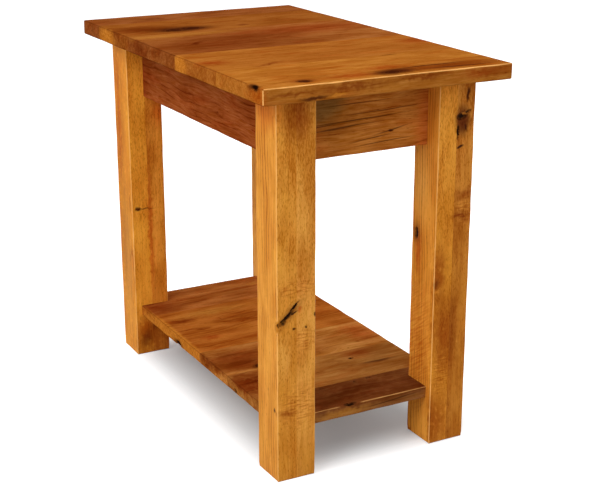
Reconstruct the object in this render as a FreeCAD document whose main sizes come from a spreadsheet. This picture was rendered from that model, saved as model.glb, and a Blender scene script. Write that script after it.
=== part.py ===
"""Rustic hickory end table: a planked top and a low planked shelf on four two-ply legs.

The frame stands on the floor at z = 0, centred on the top. X runs across the table, the short
way, and Y along it, from the front (-Y) to the back. All lengths are in millimetres.
"""
import FreeCAD, Part
import os
import Sketcher

SIZES = {
    # The whole table
    "table_height": 603,
    "top_width": 406,
    "top_length": 690,
    "top_thickness": 24,
    "top_edge_round": 2.5,
    # Legs, and how far the top stands past them
    "leg_side": 63.5,
    "leg_edge_round": 2,
    "side_overhang": 37.5,
    "end_overhang": 35.5,
    # Aprons, set back from the outer faces of the legs
    "apron_height": 100,
    "apron_thickness": 19,
    "apron_setback": 30,
    "apron_edge_round": 1.5,
    "tenon_thickness": 9.5,
    "tenon_shoulder": 10,
    "tenon_gap": 3,
    "mortise_clearance": 0.1,
    "mortise_relief": 1.5,
    # Shelf, let into a dado round the inner corner of each leg
    "shelf_top_height": 95,
    "shelf_thickness": 19,
    "shelf_side_setback": 12.5,
    "shelf_end_setback": 13,
    "shelf_edge_round": 2,
    "dado_depth": 7,
    "dado_clearance": 0.3,
    # Groove inside the aprons, and the wood buttons that hold the top by it
    "groove_drop": 12,
    "groove_width": 8,
    "groove_depth": 9,
    "groove_end_margin": 12,
    "button_width": 25,
    "button_length": 32,
    "button_clearance": 0.3,
    "tongue_length": 7,
    "tongue_clearance": 0.6,
    # Corner blocks between neighbouring aprons
    "block_height": 70,
    "block_seat": 40,
    "block_top_gap": 1,
    "block_clearance": 0.5,
    "block_web": 10,
    # Wood screws with a square drive
    "screw_diameter": 4.2,
    "screw_clearance": 0.15,
    "screw_point": 4,
    "screw_tip_gap": 1,
    "screw_head_diameter": 9,
    "screw_head_height": 3,
    "screw_head_bevel": 1,
    "drive_width": 2.9,
    "drive_depth": 2,
    "counterbore_clearance": 0.5,
    # How far a cut runs past the wood that it opens
    "overrun": 5,
}

# Glue lines, from the front edge to the back, as shares of the top's and the shelf's length
TOP_JOINT_SHARES = (0.21, 0.42, 0.697, 0.888)
SHELF_JOINT_SHARES = (0.13, 0.311, 0.4925, 0.817)
# Places of the buttons along an apron, as shares of its length from its middle
SIDE_BUTTON_SHARES = (-0.3, 0.3)
END_BUTTON_SHARES = (0,)
# Heights of the screws in a corner block, as shares of the block's height
BLOCK_SCREW_SHARES = (0.25, 0.6)
# How deep a screw bites, as a share of the thickness of the wood behind its seat
TOP_BITE_SHARE = 0.55
APRON_BITE_SHARE = 0.7

PLACES = {
    # Legs
    "leg_height": "Sizes.table_height - Sizes.top_thickness",
    "leg_half": "Sizes.leg_side / 2",
    "leg_x": "Sizes.top_width / 2 - Sizes.side_overhang - leg_half",
    "leg_y": "Sizes.top_length / 2 - Sizes.end_overhang - leg_half",
    # Aprons: their middle planes, their lengths between the legs, and their tenons
    "apron_bottom": "leg_height - Sizes.apron_height",
    "apron_half": "Sizes.apron_thickness / 2",
    "apron_x": "leg_x + leg_half - Sizes.apron_setback - apron_half",
    "apron_y": "leg_y + leg_half - Sizes.apron_setback - apron_half",
    "end_span": "2 * (leg_x - leg_half)",
    "side_span": "2 * (leg_y - leg_half)",
    "leg_proud": "Sizes.leg_side - Sizes.apron_setback - Sizes.apron_thickness",
    "tenon_half": "Sizes.tenon_thickness / 2",
    "tenon_length": "leg_proud + apron_half - tenon_half - Sizes.tenon_gap",
    # Shelf
    "shelf_bottom": "Sizes.shelf_top_height - Sizes.shelf_thickness",
    "shelf_x": "leg_x + leg_half - Sizes.shelf_side_setback",
    "shelf_y": "leg_y + leg_half - Sizes.shelf_end_setback",
    "notch_x": "leg_x - leg_half + Sizes.dado_depth - Sizes.dado_clearance",
    "notch_y": "leg_y - leg_half + Sizes.dado_depth - Sizes.dado_clearance",
    # Buttons
    "tongue_thickness": "Sizes.groove_width - Sizes.tongue_clearance",
    "button_height": "Sizes.groove_drop + tongue_thickness",
    "button_hole": "(Sizes.button_clearance + Sizes.button_length) / 2",
    # Corner blocks: where the seat on an apron begins and ends, and its middle
    "seat_start": "2 * leg_proud + Sizes.block_clearance",
    "seat_end": "seat_start + Sizes.block_seat",
    "seat_middle": "seat_start + Sizes.block_seat / 2",
    "block_bottom": "leg_height - Sizes.block_top_gap - Sizes.block_height",
    # Screws
    "screw_radius": "Sizes.screw_diameter / 2",
    "head_radius": "Sizes.screw_head_diameter / 2",
    "pilot": "Sizes.screw_diameter + 2 * Sizes.screw_clearance",
    "counterbore": "Sizes.screw_head_diameter + 2 * Sizes.counterbore_clearance",
    "top_bite": f"Sizes.top_thickness * {TOP_BITE_SHARE}",
    "apron_bite": f"Sizes.apron_thickness * {APRON_BITE_SHARE}",
    # A length greater than the whole table, for slicing a glued-up panel into its boards
    "reach": "Sizes.table_height + Sizes.top_width + Sizes.top_length",
}

# Quarter turns about Z, as cosine and sine, and what stands at each of them
QUARTERS = ((1, 0), (0, 1), (-1, 0), (0, -1))
APRONS = ("front", "right", "back", "left")
CORNERS = ("front_left", "front_right", "back_right", "back_left")
SAME_PLACE = 1e-6

doc = FreeCAD.newDocument("HickoryTable")


def make_sheet(name, rows, mark=""):
    """A sheet with one named value on each row."""
    sheet = doc.addObject("Spreadsheet::Sheet", name)
    for row, (alias, value) in enumerate(rows.items(), start=1):
        sheet.set(f"A{row}", alias)
        sheet.set(f"B{row}", f"{mark}{value}")
        sheet.setAlias(f"B{row}", alias)
    doc.recompute()
    return sheet


make_sheet("Sizes", SIZES)
places = make_sheet("Places", PLACES, "=")


def number(expression):
    """The value that an expression has now."""
    return float(places.evalExpression(expression))


def place(item, x, y, z, quarter=0):
    """Stands an object at a place, turned about Z by a number of quarters."""
    item.Placement.Rotation = FreeCAD.Rotation(FreeCAD.Vector(0, 0, 1), quarter * 90)
    item.setExpression("Placement.Base.x", x)
    item.setExpression("Placement.Base.y", y)
    item.setExpression("Placement.Base.z", z)


def turned(centre, quarter, along, inward):
    """The X and Y of a place that lies along a turned piece and inward from it."""
    cosine, sine = QUARTERS[quarter]
    x = f"{centre[0]} + {cosine} * ({along}) - {sine} * ({inward})"
    y = f"{centre[1]} + {sine} * ({along}) + {cosine} * ({inward})"
    return x, y


def new_sketch(body, plane, offset):
    """An empty sketch on one of the body's own planes, moved along that plane's normal."""
    sketch = body.newObject("Sketcher::SketchObject", f"{body.Name}_sketch")
    own_plane = next(item for item in body.Origin.OriginFeatures if item.Role == plane)
    sketch.AttachmentSupport = [(own_plane, "")]
    sketch.MapMode = "FlatFace"
    sketch.setExpression("AttachmentOffset.Base.z", offset)
    return sketch


def tie(sketch, edge, end, point):
    """Ties one point of a sketch to its two expressions."""
    for kind, expression in zip(("DistanceX", "DistanceY"), point):
        distance = Sketcher.Constraint(kind, -1, 1, edge, end, number(expression))
        index = sketch.addConstraint(distance)
        sketch.setExpression(f"Constraints[{index}]", expression)


def outline(body, plane, offset, points):
    """A closed sketch of straight lines through points given as expressions."""
    sketch = new_sketch(body, plane, offset)
    spots = [FreeCAD.Vector(number(across), number(up), 0) for across, up in points]
    for start, end in zip(spots, spots[1:] + spots[:1]):
        sketch.addGeometry(Part.LineSegment(start, end))
    for edge, point in enumerate(points):
        before = (edge - 1) % len(points)
        sketch.addConstraint(Sketcher.Constraint("Coincident", before, 2, edge, 1))
        tie(sketch, edge, 1, point)
    return sketch


def rectangle(body, plane, offset, low, high):
    """A sketch of a rectangle between two corners."""
    corners = [low, (high[0], low[1]), high, (low[0], high[1])]
    return outline(body, plane, offset, corners)


def circles(body, plane, offset, centres, diameter):
    """A sketch of equal circles."""
    sketch = new_sketch(body, plane, offset)
    for across, up in centres:
        middle = FreeCAD.Vector(number(across), number(up), 0)
        ring = Part.Circle(middle, FreeCAD.Vector(0, 0, 1), number(diameter) / 2)
        edge = sketch.addGeometry(ring)
        tie(sketch, edge, 3, (across, up))
        index = sketch.addConstraint(Sketcher.Constraint("Diameter", edge, number(diameter)))
        sketch.setExpression(f"Constraints[{index}]", diameter)
    return sketch


def pad(body, sketch, length, both_ways=False):
    """Adds wood along the sketch's normal, or half of it each way."""
    feature = body.newObject("PartDesign::Pad", f"{body.Name}_pad")
    feature.Profile = sketch
    feature.SideType = "Symmetric" if both_ways else "One side"
    feature.setExpression("Length", length)
    doc.recompute()


def pocket(body, sketch, depth, along_normal=False):
    """Cuts against the sketch's normal, or along it."""
    before = body.Tip.Shape.Volume
    feature = body.newObject("PartDesign::Pocket", f"{body.Name}_pocket")
    feature.Profile = sketch
    feature.Reversed = along_normal
    feature.setExpression("Length", depth)
    doc.recompute()
    if not feature.Shape.Volume < before:
        raise RuntimeError(f"a cut in {body.Label} removes nothing")


def ease(body, radius, **faces):
    """Rounds each edge where two of the given outer faces meet, such as x=(low, high)."""
    base = body.Tip
    names = []
    for index, edge in enumerate(base.Shape.Edges, start=1):
        middle = edge.CenterOfMass
        met = 0
        for axis, levels in faces.items():
            met += any(abs(getattr(middle, axis) - number(level)) < SAME_PLACE for level in levels)
        if met > 1:
            names.append(f"Edge{index}")
    feature = body.newObject("PartDesign::Fillet", f"{body.Name}_eased")
    feature.Base = (base, names)
    feature.setExpression("Radius", radius)
    doc.recompute()


def glued_pieces(panel, axis, glue_lines, labels):
    """The boards or plies of a glued-up blank, sliced where its glue lines are."""
    pieces = []
    edges = ["-Places.reach", *glue_lines, "Places.reach"]
    for label, low, high in zip(labels, edges, edges[1:]):
        stock = doc.addObject("Part::Box", f"{label}_stock")
        for name, side in zip("xyz", ("Length", "Width", "Height")):
            stock.setExpression(f"Placement.Base.{name}", low if name == axis else "-Places.reach")
            span = f"{high} - ({low})" if name == axis else "2 * Places.reach"
            stock.setExpression(side, span)
        piece = doc.addObject("Part::Common", label)
        piece.Base = panel
        piece.Tool = stock
        pieces.append(piece)
    doc.recompute()
    return pieces


def leg(corner):
    """One leg: a blank of two plies, cut for two tenons and the shelf."""
    side = -1 if "left" in corner else 1
    end = -1 if "front" in corner else 1

    def toward_middle(points):
        """Points given inward from the leg's centre, in the leg's own X and Y."""
        return [(f"{-side} * ({x})", f"{-end} * ({y})") for x, y in points]

    body = doc.addObject("PartDesign::Body", f"leg_{corner}")
    place(body, f"{side} * Places.leg_x", f"{end} * Places.leg_y", "0")
    half, face = "Places.leg_half", "Places.leg_half + Sizes.overrun"
    square = toward_middle([(f"-{half}", f"-{half}"), (half, half)])
    pad(body, rectangle(body, "XY_Plane", "0", *square), "Places.leg_height")
    sides = (f"-{half}", half)
    ease(body, "Sizes.leg_edge_round", x=sides, y=sides, z=("0",))

    # Mortises for the tenon of the end apron and, turned over, of the side apron
    cheek = "-Places.leg_half + Sizes.apron_setback + Places.apron_half"
    wall = "(Places.tenon_half + Sizes.mortise_clearance)"
    bottom = "Places.leg_half - Places.tenon_length - Sizes.mortise_relief"
    for turn in (1, -1):
        low = (bottom, f"{cheek} - {wall}")[::turn]
        high = (face, f"{cheek} + {wall}")[::turn]
        top = "Places.leg_height - Sizes.tenon_shoulder + Sizes.mortise_clearance"
        mouth = rectangle(body, "XY_Plane", top, *toward_middle([low, high]))
        tenon = "Sizes.apron_height - 2 * Sizes.tenon_shoulder"
        pocket(body, mouth, f"{tenon} + 2 * Sizes.mortise_clearance")

    # Stopped dado round the inner corner
    floor = "Places.leg_half - Sizes.dado_depth"
    side_stop = "-Places.leg_half + Sizes.shelf_side_setback - Sizes.dado_clearance"
    end_stop = "-Places.leg_half + Sizes.shelf_end_setback - Sizes.dado_clearance"
    corner_cut = [
        (face, face), (side_stop, face), (side_stop, floor),
        (floor, floor), (floor, end_stop), (face, end_stop),
    ]
    dado_top = "Sizes.shelf_top_height + Sizes.dado_clearance"
    dado = outline(body, "XY_Plane", dado_top, toward_middle(corner_cut))
    pocket(body, dado, "Sizes.shelf_thickness + Sizes.dado_clearance")

    plies = [f"leg_{corner}_outer_ply", f"leg_{corner}_inner_ply"][::-side]
    return glued_pieces(body, "x", [f"{side} * Places.leg_x"], plies)


def screw_spots(centre, quarter, span, shares):
    """Where the button screws of one apron stand."""
    inward = "Places.apron_half + Places.button_hole"
    return [turned(centre, quarter, f"{span} * {share}", inward) for share in shares]


def apron_rows():
    """Each apron's side, quarter, centre, length between the legs and button places."""
    ends = ("Places.end_span", END_BUTTON_SHARES)
    sides = ("Places.side_span", SIDE_BUTTON_SHARES)
    centres = (("0", "-Places.apron_y"), ("Places.apron_x", "0"),
               ("0", "Places.apron_y"), ("-Places.apron_x", "0"))
    for quarter, (name, centre) in enumerate(zip(APRONS, centres)):
        yield name, quarter, centre, *(sides if quarter % 2 else ends)


def top():
    """The top: boards glued edge to edge, eased all round, with pilot holes beneath."""
    panel = doc.addObject("PartDesign::Body", "top_panel")
    place(panel, "0", "0", "Places.leg_height")
    x, y = "Sizes.top_width / 2", "Sizes.top_length / 2"
    blank = rectangle(panel, "XY_Plane", "0", (f"-{x}", f"-{y}"), (x, y))
    pad(panel, blank, "Sizes.top_thickness")
    faces = {"x": (f"-{x}", x), "y": (f"-{y}", y), "z": ("0", "Sizes.top_thickness")}
    ease(panel, "Sizes.top_edge_round", **faces)
    spots = []
    for _, quarter, centre, span, shares in apron_rows():
        spots += screw_spots(centre, quarter, span, shares)
    pilots = circles(panel, "XY_Plane", "0", spots, "Places.pilot")
    pocket(panel, pilots, "Places.top_bite + Sizes.screw_tip_gap", along_normal=True)
    glue_lines = [f"Sizes.top_length * ({share} - 0.5)" for share in TOP_JOINT_SHARES]
    labels = [f"top_board_{count}" for count in range(1, len(glue_lines) + 2)]
    return glued_pieces(panel, "y", glue_lines, labels)


def shelf():
    """The shelf: boards glued edge to edge, with a notch at each corner for the leg."""
    panel = doc.addObject("PartDesign::Body", "shelf_panel")
    place(panel, "0", "0", "Places.shelf_bottom")
    quarter_outline = [
        ("Places.shelf_x", "Places.notch_y"), ("Places.notch_x", "Places.notch_y"),
        ("Places.notch_x", "Places.shelf_y"),
    ]
    points = []
    for x_sign, y_sign, order in ((1, 1, 1), (-1, 1, -1), (-1, -1, 1), (1, -1, -1)):
        corner = [(f"{x_sign} * {x}", f"{y_sign} * {y}") for x, y in quarter_outline]
        points += corner[::order]
    pad(panel, outline(panel, "XY_Plane", "0", points), "Sizes.shelf_thickness")
    x, y = ("-Places.shelf_x", "Places.shelf_x"), ("-Places.shelf_y", "Places.shelf_y")
    ease(panel, "Sizes.shelf_edge_round", x=x, y=y, z=("0", "Sizes.shelf_thickness"))
    glue_lines = [f"2 * Places.shelf_y * ({share} - 0.5)" for share in SHELF_JOINT_SHARES]
    labels = [f"shelf_board_{count}" for count in range(1, len(glue_lines) + 2)]
    return glued_pieces(panel, "y", glue_lines, labels)


def apron(name, quarter, centre, span, shares):
    """One apron, with a tenon at each end, a groove inside and pilot holes for the blocks."""
    body = doc.addObject("PartDesign::Body", f"{name}_apron")
    place(body, *centre, "Places.apron_bottom", quarter)
    thick = ("-Places.apron_half", "Places.apron_half")
    end = f"{span} / 2"
    face = rectangle(body, "XY_Plane", "0", (f"-{end}", thick[0]), (end, thick[1]))
    pad(body, face, "Sizes.apron_height")
    ease(body, "Sizes.apron_edge_round", y=thick, z=("0",))

    reach = f"({end} + Places.tenon_length)"
    low, high = (f"-{reach}", "-Places.tenon_half"), (reach, "Places.tenon_half")
    tenons = rectangle(body, "XY_Plane", "Sizes.tenon_shoulder", low, high)
    pad(body, tenons, "Sizes.apron_height - 2 * Sizes.tenon_shoulder")

    stop = f"({end} - Sizes.groove_end_margin)"
    low = (f"-{stop}", "Places.apron_half - Sizes.groove_depth")
    high = (stop, "Places.apron_half + Sizes.overrun")
    level = "Sizes.apron_height - Sizes.groove_drop"
    pocket(body, rectangle(body, "XY_Plane", level, low, high), "Sizes.groove_width")

    spots = []
    for share in BLOCK_SCREW_SHARES:
        height = f"Sizes.block_height * {share} + Places.block_bottom - Places.apron_bottom"
        for sign in (-1, 1):
            spots.append((f"{sign} * ({end} + Places.leg_proud - Places.seat_middle)", height))
    pilots = circles(body, "XZ_Plane", "-Places.apron_half", spots, "Places.pilot")
    pocket(body, pilots, "Places.apron_bite + Sizes.screw_tip_gap", along_normal=True)
    return body


def button(label, quarter, x, y):
    """A wood button: its block is screwed to the top, its tongue lies in the groove."""
    body = doc.addObject("PartDesign::Body", label)
    place(body, x, y, "Places.leg_height", quarter)
    tongue_end, gap = "-Sizes.tongue_length", "Sizes.button_clearance"
    back = "Sizes.button_clearance + Sizes.button_length"
    profile = [
        (tongue_end, "-Places.button_height"), (back, "-Places.button_height"),
        (back, "0"), (gap, "0"), (gap, "-Sizes.groove_drop"), (tongue_end, "-Sizes.groove_drop"),
    ]
    pad(body, outline(body, "YZ_Plane", "0", profile), "Sizes.button_width", both_ways=True)
    hole = circles(body, "XY_Plane", "0", [("0", "Places.button_hole")], "Places.pilot")
    pocket(body, hole, "Places.button_height + Sizes.overrun")
    return body


def corner_block(corner, quarter, x, y):
    """A block across the corner behind a leg, seated on two aprons and clear of the leg."""
    body = doc.addObject("PartDesign::Body", f"corner_block_{corner}")
    place(body, x, y, "Places.block_bottom", quarter)
    start, end = "Places.seat_start", "Places.seat_end"
    points = [(start, "0"), (end, "0"), ("0", end), ("0", start)]
    pad(body, outline(body, "XY_Plane", "0", points), "Sizes.block_height")
    for plane, along_normal in (("YZ_Plane", True), ("XZ_Plane", False)):
        spots = []
        for share in BLOCK_SCREW_SHARES:
            spots.append(("Places.seat_middle", f"Sizes.block_height * {share}"))
        holes = circles(body, plane, "0", spots, "Places.pilot")
        pocket(body, holes, "Places.seat_end", along_normal)
        web = "Sizes.block_web" if along_normal else "-Sizes.block_web"
        pocket(body, circles(body, plane, web, spots, "Places.counterbore"),
               "Places.seat_end", along_normal)
    return body


def screw(label, length):
    """A wood screw that points up, its head's seat at its own origin."""
    body = doc.addObject("PartDesign::Body", label)
    head = "Sizes.screw_head_height"
    bevel = "Sizes.screw_head_bevel"
    profile = [
        ("0", f"-{head}"), (f"Places.head_radius - {bevel}", f"-{head}"),
        ("Places.head_radius", f"{bevel} - {head}"), ("Places.head_radius", "0"),
        ("Places.screw_radius", "0"), ("Places.screw_radius", f"{length} - Sizes.screw_point"),
        ("0", length),
    ]
    sketch = outline(body, "XZ_Plane", "0", profile)
    turn = body.newObject("PartDesign::Revolution", f"{label}_turned")
    turn.Profile = sketch
    turn.ReferenceAxis = (sketch, ["V_Axis"])
    turn.Angle = 360
    doc.recompute()
    half = "Sizes.drive_width / 2"
    drive = rectangle(body, "XY_Plane", f"-{head}", (f"-{half}", f"-{half}"), (half, half))
    pocket(body, drive, "Sizes.drive_depth", along_normal=True)
    return body


def screw_group(label, screws):
    """One node that holds equal screws as separate solids."""
    group = doc.addObject("Part::Compound", label)
    group.Links = screws
    doc.recompute()
    return group


def top_fixings():
    """The buttons, and the screws that hold them to the top."""
    buttons, screws = [], []
    length = "(Places.button_height + Places.top_bite)"
    for name, quarter, centre, span, shares in apron_rows():
        for count, share in enumerate(shares, start=1):
            label = f"top_button_{name}" if len(shares) == 1 else f"top_button_{name}_{count}"
            seat = turned(centre, quarter, f"{span} * {share}", "Places.apron_half")
            buttons.append(button(label, quarter, *seat))
        for x, y in screw_spots(centre, quarter, span, shares):
            item = screw(f"button_screw_{len(screws) + 1}", length)
            place(item, x, y, "Places.leg_height - Places.button_height")
            screws.append(item)
    return [*buttons, screw_group("top_button_screws", screws)]


def corner_fixings():
    """The corner blocks, and the screws that hold them to the aprons."""
    blocks, screws = [], []
    length = "(Sizes.block_web + Places.apron_bite)"
    x, y = "(Places.apron_x - Places.apron_half)", "(Places.apron_y - Places.apron_half)"
    inner_corners = ((f"-{x}", f"-{y}"), (x, f"-{y}"), (x, y), (f"-{x}", y))
    up = FreeCAD.Vector(0, 0, 1)
    for quarter, (corner, centre) in enumerate(zip(CORNERS, inner_corners)):
        blocks.append(corner_block(corner, quarter, *centre))
        turn = FreeCAD.Rotation(up, quarter * 90)
        seats = (("Sizes.block_web", "Places.seat_middle", FreeCAD.Vector(-1, 0, 0)),
                 ("Places.seat_middle", "Sizes.block_web", FreeCAD.Vector(0, -1, 0)))
        for along, inward, way in seats:
            for share in BLOCK_SCREW_SHARES:
                item = screw(f"block_screw_{len(screws) + 1}", length)
                height = f"Places.block_bottom + Sizes.block_height * {share}"
                place(item, *turned(centre, quarter, along, inward), height)
                item.Placement.Rotation = FreeCAD.Rotation(up, turn.multVec(way))
                screws.append(item)
    return [*blocks, screw_group("corner_block_screws", screws)]


def main():
    """Builds every piece, checks it and writes it to its own file."""
    nodes = top()
    for corner in CORNERS:
        nodes += leg(corner)
    nodes += [apron(*row) for row in apron_rows()]
    nodes += shelf()
    nodes += corner_fixings()
    nodes += top_fixings()
    doc.recompute()
    for item in doc.Objects:
        if {"Invalid", "Error"} & set(item.State):
            raise RuntimeError(f"{item.Label} failed: {item.State}")
    for node in nodes:
        if node.Shape.isNull() or not node.Shape.isValid():
            raise RuntimeError(f"{node.Label} has no valid shape")
    os.makedirs("parts", exist_ok=True)
    for node in nodes:
        node.Shape.exportStep(f"parts/{node.Label}.step")


main()
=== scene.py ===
"""Rustic hickory end table: boards glued up for the top, the shelf and the legs, and plain aprons
between the legs, all stained and rubbed with oil."""

import math

import bmesh
import bpy
from mathutils import Euler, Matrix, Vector, noise


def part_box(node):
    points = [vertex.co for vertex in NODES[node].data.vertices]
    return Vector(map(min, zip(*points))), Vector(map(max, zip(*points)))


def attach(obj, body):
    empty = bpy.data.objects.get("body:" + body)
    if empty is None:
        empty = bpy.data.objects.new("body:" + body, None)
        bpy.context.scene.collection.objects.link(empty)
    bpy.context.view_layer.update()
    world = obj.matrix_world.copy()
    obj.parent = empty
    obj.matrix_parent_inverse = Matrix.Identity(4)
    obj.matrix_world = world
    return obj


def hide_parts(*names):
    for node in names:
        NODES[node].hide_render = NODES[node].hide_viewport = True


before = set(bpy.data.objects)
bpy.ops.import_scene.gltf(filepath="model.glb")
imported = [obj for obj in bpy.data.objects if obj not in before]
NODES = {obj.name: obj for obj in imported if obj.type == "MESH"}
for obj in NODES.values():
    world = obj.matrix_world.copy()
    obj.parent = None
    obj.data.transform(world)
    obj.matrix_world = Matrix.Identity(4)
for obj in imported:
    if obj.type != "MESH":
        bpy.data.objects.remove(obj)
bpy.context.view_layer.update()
MM = 0.001

# The photograph's view. Its uprights were drawn parallel, so the camera is the nearest pitched one.
CAMERA_PLACE = (-0.9712, -1.8661, 0.9470)
CAMERA_TURN_DEGREES = 28.440
CAMERA_PITCH_DEGREES = 18.350
CAMERA_LENS_MM = 79.25
CAMERA_SENSOR_MM = 36.0

# Each lamp: where it stands, the point it lights, its width and height in metres, its watts
TABLE_MIDDLE = (0.0, 0.0, 0.35)
LAMPS = {
    "overhead_softbox": ((-0.3, -0.3, 4.2), TABLE_MIDDLE, (3.0, 3.0), 42.0),
    "left_softbox": ((-2.6, -1.0, 2.3), TABLE_MIDDLE, (2.0, 2.0), 66.0),
    "front_softbox": ((0.8, -3.0, 2.2), TABLE_MIDDLE, (2.0, 2.0), 16.0),
    "right_softbox": ((2.4, 1.2, 2.0), TABLE_MIDDLE, (2.0, 2.0), 30.0),
}
# The room: a pale wall up to eye height, as heights of a look's slope, and a dimmer ceiling
WALL_LIGHT = 1.0
CEILING_LIGHT = 0.28
WALL_TOP_SLOPE = 0.16
CEILING_SLOPE = 0.34
# The floor glows white where it is looked at, all but a painted shadow between the legs, where the
# glow is dimmed over the real shadow
FLOOR_SIZE_M = 40.0
FLOOR_COLOUR = "#C0C0C0"
GLOW_COLOUR = "#FFFFFF"
SHADOW_MIDDLE_M = (0.025, 0.0, 0.0)
SHADOW_HALF_SIZES_M = (0.1, 0.22, 0.0)
SHADOW_EDGE_M = 0.11
SHADOW_GLOW = 0.13

# Glued-up bodies, by the name that their pieces share: the axis of the grain, the axis across the
# glue lines, and the slot
AXES = "XYZ"
BODIES = {
    "top_board": ("X", "Y", "top_hickory"),
    "shelf_board": ("X", "Y", "shelf_hickory"),
    "leg_front_left": ("Z", "X", "leg_hickory"),
    "leg_front_right": ("Z", "X", "leg_hickory"),
    "leg_back_left": ("Z", "X", "leg_hickory"),
    "leg_back_right": ("Z", "X", "leg_hickory"),
    "front_apron": ("X", None, "apron_hickory"),
    "back_apron": ("X", None, "apron_hickory"),
    "left_apron": ("Y", None, "apron_hickory"),
    "right_apron": ("Y", None, "apron_hickory"),
}

CELL_ALONG_MM = 9.0
CELL_ACROSS_MM = 6.0
CELL_KNOT_MM = 1.1
LEAST_CELL_SHARE = 0.01
SAME_PLACE_M = 1e-6
FLAT_RADIANS = 0.002
SHARP_EDGE_DEGREES = 50.0
# Scraped faces: how deep and how long the hollows are, and how far under the face they are felt
HOLLOW_MM = 0.22
HOLLOW_LENGTH_MM = 90.0
SKIN_MM = 1.5
# Rubbed arrises: how deep, how far from the arris, how long each worn stretch is, and the least wear
RUBBED_MM = 0.9
RUBBED_REACH_MM = 5.0
RUBBED_LENGTH_MM = 35.0
RUBBED_LEAST = 0.15
# The feet are rubbed more, on any body whose lowest corner is this near the floor
FOOT_RUB = 1.3
FOOT_ON_FLOOR_MM = 1.0
# Open knots and checks: the face's skin that they pull in, their margin, ragged rim and steep walls
HOLE_SKIN_MM = 3.0
HOLE_MARGIN_MM = 2.0
HOLE_RAGGED_MM = 1.2
HOLE_RAGGED_LENGTH_MM = 3.0
HOLE_WALL_SLOPE = 2.2
NOISES_APART = 7.0

# Each kind of mark: its colour, how strongly it stains, how soft its edge is, how ragged that is in
# mm, and how many mm deep it is open
MARK_KINDS = {
    "open_knot": ("#170804", 0.97, 0.35, 1.6, 2.4),
    "knot": ("#3A1407", 0.92, 0.5, 4.0, 0.0),
    "knot_ring": ("#6E2C0E", 0.65, 0.9, 3.0, 0.0),
    "check": ("#24100A", 0.9, 0.5, 0.7, 0.8),
    "dark_streak": ("#4E2410", 0.8, 0.8, 5.0, 0.0),
    "grain_line": ("#4A2810", 0.8, 0.7, 1.6, 0.0),
    "bark": ("#4A1E0C", 0.85, 0.6, 4.0, 0.0),
    "sap": ("#CC8A38", 0.6, 0.95, 9.0, 0.0),
    "gold": ("#D4862E", 0.8, 0.5, 5.0, 0.0),
    "pale_sap": ("#F8B252", 0.75, 0.9, 6.0, 0.0),
    "olive_heart": ("#7E5828", 0.85, 0.4, 5.0, 0.0),
    "rust": ("#CC6C2C", 0.65, 0.7, 5.0, 0.0),
}
# Heartwood and figure take more stain: these colours multiply the wood's own
STAIN_KINDS = {
    "heart": ("#C0987E", 0.9, 0.9, 9.0, 0.0),
    "red_heart": ("#E4B098", 0.9, 0.9, 9.0, 0.0),
    "brown_heart": ("#BC9478", 0.95, 0.7, 8.0, 0.0),
    "orange": ("#F4CCA0", 0.9, 0.9, 9.0, 0.0),
    "deep_stain": ("#EEE6CC", 1.0, 0.7, 9.0, 0.0),
    "grey_heart": ("#D6D2C4", 0.95, 0.9, 9.0, 0.0),
    "ripple": ("#CE9E78", 0.75, 0.7, 4.0, 0.0),
    "feather": ("#E0A884", 0.7, 0.8, 5.0, 0.0),
}
ALL_KINDS = {**MARK_KINDS, **STAIN_KINDS}
OPEN_KINDS = ("open_knot", "check")
DRAWN_OUT_KINDS = ("dark_streak", "grain_line")

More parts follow.
